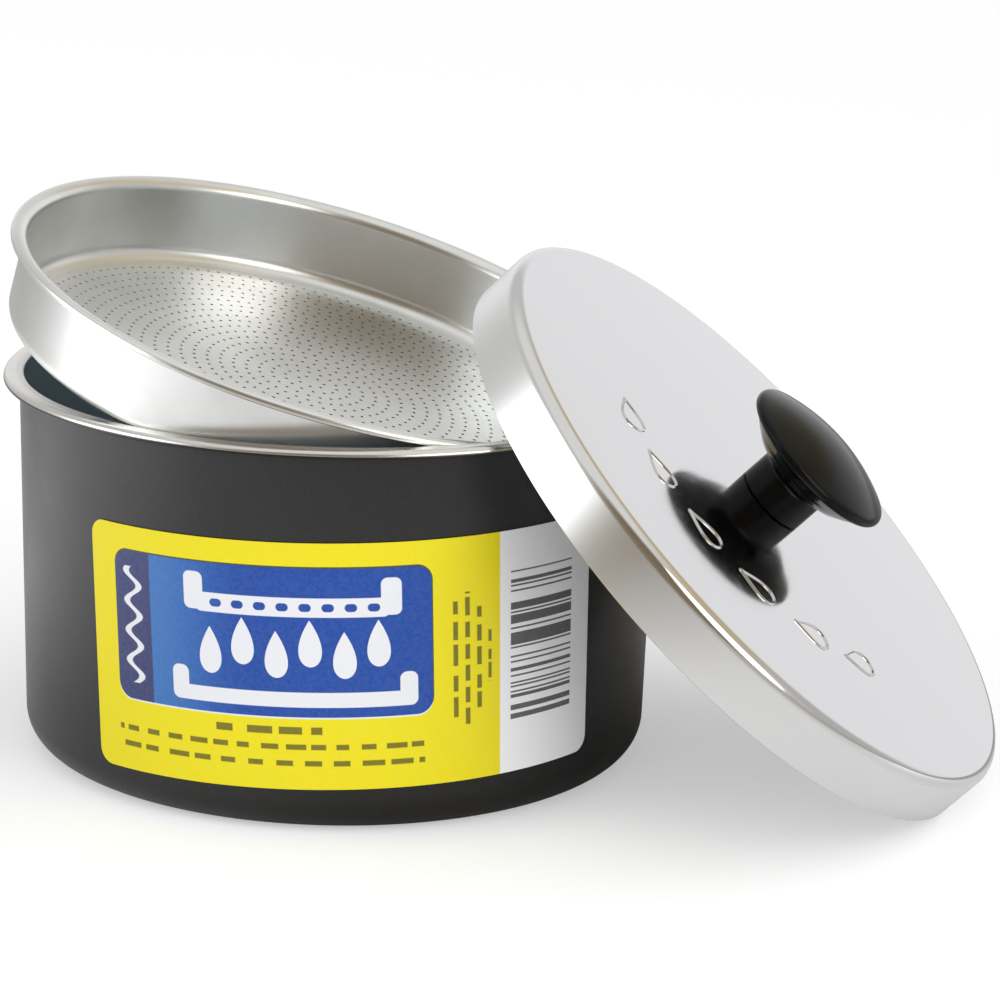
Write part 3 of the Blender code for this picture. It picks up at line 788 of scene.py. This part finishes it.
lidPlace = leaningPlace(lid)
lidMetal = makeLidMaterial(lidPlace)
lidShell = spinOutline("lidShell", lidOutline(), lid["segments"])
finishPiece(lidShell, lidPlace, lidMetal, "lid", ["lid_shell"])
lidDrops = makeRidgeOutline()
firstDrop = math.radians(ridge["middle"] - ridge["pitch"] * (ridge["count"] - 1) / 2)
domeSlope = math.atan(2 * lid["dome"] * ridge["ringRadius"] / (lid["radius"] - lid["cornerRadius"]) ** 2)
bakeTree(lidDrops, makeRidgeTree(), Count=ridge["count"], Ring_Radius=ridge["ringRadius"],
         Pitch=math.radians(ridge["pitch"]), First_Angle=firstDrop, Slope=domeSlope,
         Level=lidLevel(ridge["ringRadius"]), Line=ridge["line"], Metal=lidMetal)
finishPiece(lidDrops, lidPlace, lidMetal, "lid", [])


# knob: glossy black mushroom with its insert, screw and washer

knob = {
    "stemRadius": 0.0076, "capRadius": 0.0174, "capRimHeight": 0.0120, "capTopHeight": 0.0179,
    "capInnerRadius": 0.0108, "capInnerHeight": 0.0082, "capEdgeRound": 0.0012, "capShoulder": 60,
    "boreRadius": 0.0037, "boreTop": 0.0099, "gap": 0.00006, "segments": 160,
    "crownSteps": 24, "neckRound": 0.0018, "neckTop": 0.0058, "footEase": 0.0002,
    # the cap's underside slopes from outside to inside: how far beyond the inner radius, and how high
    "underReach": 0.0030, "underHeight": 0.0101, "innerReach": 0.0006, "innerRise": 0.0002,
    "black": srgb(9, 10, 11), "worn": srgb(14, 15, 17), "roughness": 0.16, "ior": 1.45, "shine": 0.19,
}
hardware = {
    "zincSteel": {"bright": srgb(200, 201, 203), "dull": srgb(160, 160, 158), "roughness": 0.30},
    "turnedBrass": {"bright": srgb(214, 184, 120), "dull": srgb(176, 142, 82), "roughness": 0.28},
}


def knobOutline():
    edge = knob["capEdgeRound"]
    rim = arcPoints(knob["capRadius"] - edge, knob["capRimHeight"] + edge, edge, knob["capShoulder"], -90, 12)
    shoulderRadius, shoulderHeight = rim[0]
    rise = knob["capTopHeight"] - shoulderHeight
    crown = []
    for step in range(1, knob["crownSteps"]):
        share = step / knob["crownSteps"]
        crown.append((shoulderRadius * share, shoulderHeight + rise * (1 - share ** 2)))
    within, level = knob["capInnerRadius"], knob["capInnerHeight"]
    under = [(within + knob["underReach"], knob["underHeight"]),
             (within + knob["innerReach"], level + knob["innerRise"])]
    neck = arcPoints(knob["stemRadius"] + knob["neckRound"], knob["neckTop"], knob["neckRound"], 105, 180, 6)
    stem, ease = knob["stemRadius"], knob["footEase"]
    foot = [(stem, knob["gap"] + ease), (stem - ease, knob["gap"])]
    bore = [(knob["boreRadius"], knob["gap"]), (knob["boreRadius"], knob["boreTop"]), (0, knob["boreTop"])]
    return [(0, knob["capTopHeight"])] + crown + rim + under + neck + foot + bore


def makeKnobMaterial():
    material, tree, shader = newMaterial("glossBlack", IOR=knob["ior"], Specular_IOR_Level=knob["shine"])
    coords = objectCoords(tree)
    cloud = noise(tree, coords, 240.0, 3.0)
    shade = mixColour(tree, ramp(tree, cloud, 0.35, 0.75), knob["black"], knob["worn"])
    tree.links.new(shade, shader.inputs["Base Color"])
    rough = calc(tree, "ADD", knob["roughness"], ramp(tree, cloud, 0.3, 0.8, -0.02, 0.04))
    tree.links.new(rough, shader.inputs["Roughness"])
    tree.links.new(bump(tree, noise(tree, coords, 900.0, 2.0), 0.05, 0.0001), shader.inputs["Normal"])
    return material


def makeHardwareMaterial(name):
    material, tree, shader = newMaterial(name, Metallic=1.0)
    finish = hardware[name]
    coords = objectCoords(tree)
    cloud = noise(tree, coords, 700.0, 4.0)
    shade = mixColour(tree, ramp(tree, cloud, 0.4, 0.75), finish["bright"], finish["dull"])
    tree.links.new(shade, shader.inputs["Base Color"])
    rough = ramp(tree, cloud, 0.3, 0.8, finish["roughness"] - 0.06, finish["roughness"] + 0.1)
    tree.links.new(rough, shader.inputs["Roughness"])
    tree.links.new(bump(tree, noise(tree, coords, 2500.0, 2.0), 0.1, 0.00005), shader.inputs["Normal"])
    return material


knobPlace = lidPlace @ Matrix.Translation((0, 0, lidLevel(0)))
knobBody = spinOutline("knobBody", knobOutline(), knob["segments"])
finishPiece(knobBody, knobPlace, makeKnobMaterial(), "lid", ["lid_knob"])
zinc, brass = makeHardwareMaterial("zincSteel"), makeHardwareMaterial("turnedBrass")
for nodeName, material in (("knob_screw", zinc), ("screw_washer", zinc), ("knob_insert", brass)):
    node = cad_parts[nodeName]
    node.data.materials.clear()
    node.data.materials.append(material)


# floor, light, camera

stage = {
    "floorSize": 6.0, "floorShade": (0.62, 0.62, 0.62, 1.0), "floorMirrorShade": (0.42, 0.40, 0.37, 1.0), "floorGlow": 0.42,
    "mirrorGlow": 0.24, "mirrorGlowNear": 0.11, "mirrorGlowLeft": 0.85, "mirrorGlowRight": 0.70,
    "frontLight": 1.36, "backLight": 0.40,
    "roomShade": (0.92, 0.92, 0.93, 1.0), "coveShade": (0.64, 0.63, 0.61, 1.0), "goldShade": (0.60, 0.50, 0.32, 1.0),
    "ceilingShade": (0.84, 0.84, 0.82, 1.0), "frontShade": (0.20, 0.15, 0.09, 1.0),
    "leftShade": (0.57, 0.57, 0.55, 1.0), "rightShade": (0.54, 0.53, 0.51, 1.0),
}
lamps = {
    "key": {"place": (-1.17, -0.26, 0.43), "aim": (0.0, 0.0, 0.06), "size": (1.10, 1.00), "power": 5.0,
            "tint": (0.95, 0.98, 1.0)},
    "window": {"place": (0.68, -0.78, 0.44), "aim": (0.03, 0.0, 0.06), "size": (0.64, 0.88), "power": 3.0,
               "tint": (1.0, 1.0, 0.99)},
}
eye = {
    "place": (0.031754, -0.750247, 0.250468), "pitch": 0.267111, "roll": 0.030163,
    "lens": 136.2113, "sensor": 36, "shiftX": 0.006894, "shiftY": 0.027177, "clipStart": 0.01,
}


def makeFloor():
    bm = bmesh.new()
    half = stage["floorSize"] / 2
    bm.faces.new([bm.verts.new((x * half, y * half, 0)) for x, y in ((-1, -1), (1, -1), (1, 1), (-1, 1))])
    floor = addMesh("floor", bm)
    material, tree, shader = newMaterial("paleFloor", Base_Color=stage["floorShade"], Roughness=0.9)
    shader.inputs["Specular IOR Level"].default_value = 0.0
    path = tree.nodes.new("ShaderNodeLightPath")
    mirrored = calc(tree, "MAXIMUM", path.outputs["Is Glossy Ray"], path.outputs["Is Transmission Ray"])
    # in the metal the floor carries painted light and shade: brighter to both sides, dimmer close to the pot, under
    # the lid and towards the photographer
    x, y = splitVector(tree, objectCoords(tree))[:2]
    middleGlow = ramp(tree, y, -0.20, -0.08, stage["mirrorGlow"], stage["mirrorGlowNear"])
    leftBand = calc(tree, "MULTIPLY", ramp(tree, y, -0.26, -0.10), ramp(tree, y, 0.05, 0.18, 1.0, 0.0))
    leftGlow = calc(tree, "MULTIPLY", ramp(tree, x, -0.20, -0.06, stage["mirrorGlowLeft"], 0.0), leftBand)
    sideGlow = calc(tree, "MAXIMUM", ramp(tree, x, 0.12, 0.34, middleGlow, stage["mirrorGlowRight"]), leftGlow)
    sideGlow = calc(tree, "MULTIPLY", sideGlow, ramp(tree, y, 0.15, 0.45, 1.0, 0.0))
    mirrorShade = ramp(tree, calc(tree, "SUBTRACT", calc(tree, "MULTIPLY", x, 0.5), y), 0.14, 0.30)
    # painted shade: the lid's shade at the back right, and a dimmer floor further back
    shadeBehind = calc(tree, "MULTIPLY", ramp(tree, x, 0.05, 0.10), ramp(tree, y, -0.02, 0.04))
    shadeBehind = calc(tree, "MAXIMUM", shadeBehind, ramp(tree, y, 0.12, 0.50, 0.0, 0.7))
    # painted contact shade close to the pot on its right
    away = axisDistance(tree, x, y)
    contactShade = calc(tree, "MULTIPLY", ramp(tree, away, 0.075, 0.115, 1.0, 0.0), ramp(tree, x, -0.05, 0.02))
    mirrorShade = calc(tree, "MAXIMUM", calc(tree, "MAXIMUM", mirrorShade, shadeBehind), contactShade)
    shade = mixColour(tree, calc(tree, "MULTIPLY", mirrored, mirrorShade), stage["floorShade"], stage["floorMirrorShade"])
    tree.links.new(shade, shader.inputs["Base Color"])
    mirrorGlow = calc(tree, "MULTIPLY", sideGlow, calc(tree, "SUBTRACT", 1.0, mirrorShade))
    glow = calc(tree, "MAXIMUM", calc(tree, "MULTIPLY", path.outputs["Is Camera Ray"], stage["floorGlow"]),
                calc(tree, "MULTIPLY", mirrored, mirrorGlow))
    shader.inputs["Emission Color"].default_value = (1, 1, 1, 1)
    tree.links.new(glow, shader.inputs["Emission Strength"])
    floor.data.materials.append(material)


def makeWorld():
    # white to the camera; metal sees a pale room with a darker cove and the dim side of the photographer
    world = bpy.data.worlds.new("studio")
    bpy.context.scene.world = world
    world.use_nodes = True
    tree = world.node_tree
    background = tree.nodes["Background"]
    path = tree.nodes.new("ShaderNodeLightPath")
    coords = tree.nodes.new("ShaderNodeTexCoord")
    x, y, z = splitVector(tree, coords.outputs["Generated"])[:3]
    cove = mixColour(tree, ramp(tree, x, 0.30, 0.55), stage["coveShade"], stage["goldShade"])
    room = mixColour(tree, ramp(tree, z, 0.28, 0.50), stage["roomShade"], cove)
    room = mixColour(tree, ramp(tree, z, 0.62, 0.88), room, stage["ceilingShade"])
    room = mixColour(tree, ramp(tree, x, -0.72, -0.30, 1.0, 0.0), room, stage["leftShade"])
    room = mixColour(tree, ramp(tree, x, 0.75, 0.95), room, stage["rightShade"])
    room = mixColour(tree, ramp(tree, y, -0.72, -0.45, 1.0, 0.0), room, stage["frontShade"])
    mirrored = calc(tree, "MAXIMUM", path.outputs["Is Glossy Ray"], path.outputs["Is Transmission Ray"])
    tree.links.new(mixColour(tree, mirrored, (1, 1, 1, 1), room), background.inputs["Color"])
    seen = calc(tree, "MAXIMUM", path.outputs["Is Camera Ray"], mirrored)
    slant = calc(tree, "SUBTRACT", calc(tree, "MULTIPLY", y, 0.75), calc(tree, "MULTIPLY", x, 0.66))
    light = ramp(tree, slant, -0.6, 0.6, stage["frontLight"], stage["backLight"])
    tree.links.new(ramp(tree, seen, 0.0, 1.0, light, 1.0, smooth=False), background.inputs["Strength"])


def addLamp(name, lamp):
    light = bpy.data.lights.new(name, "AREA")
    light.shape = "ELLIPSE"
    light.size, light.size_y = lamp["size"]
    light.energy = lamp["power"]
    light.color = lamp["tint"]
    obj = bpy.data.objects.new(name, light)
    bpy.context.scene.collection.objects.link(obj)
    obj.location = lamp["place"]
    obj.rotation_euler = (Vector(lamp["aim"]) - Vector(lamp["place"])).to_track_quat("-Z", "Y").to_euler()


def addCamera():
    data = bpy.data.cameras.new("photoView")
    camera = bpy.data.objects.new("photoView", data)
    bpy.context.scene.collection.objects.link(camera)
    level = Matrix.Rotation(math.pi / 2 - eye["pitch"], 4, "X")
    camera.matrix_world = Matrix.Translation(eye["place"]) @ level @ Matrix.Rotation(eye["roll"], 4, "Z")
    data.sensor_width = eye["sensor"]
    data.lens = eye["lens"]
    data.shift_x = eye["shiftX"]
    data.shift_y = eye["shiftY"]
    data.clip_start = eye["clipStart"]
    bpy.context.scene.camera = camera


makeFloor()
makeWorld()
for lampName, lamp in lamps.items():
    addLamp(lampName, lamp)
addCamera()
bpy.context.scene.view_settings.view_transform = "Standard"
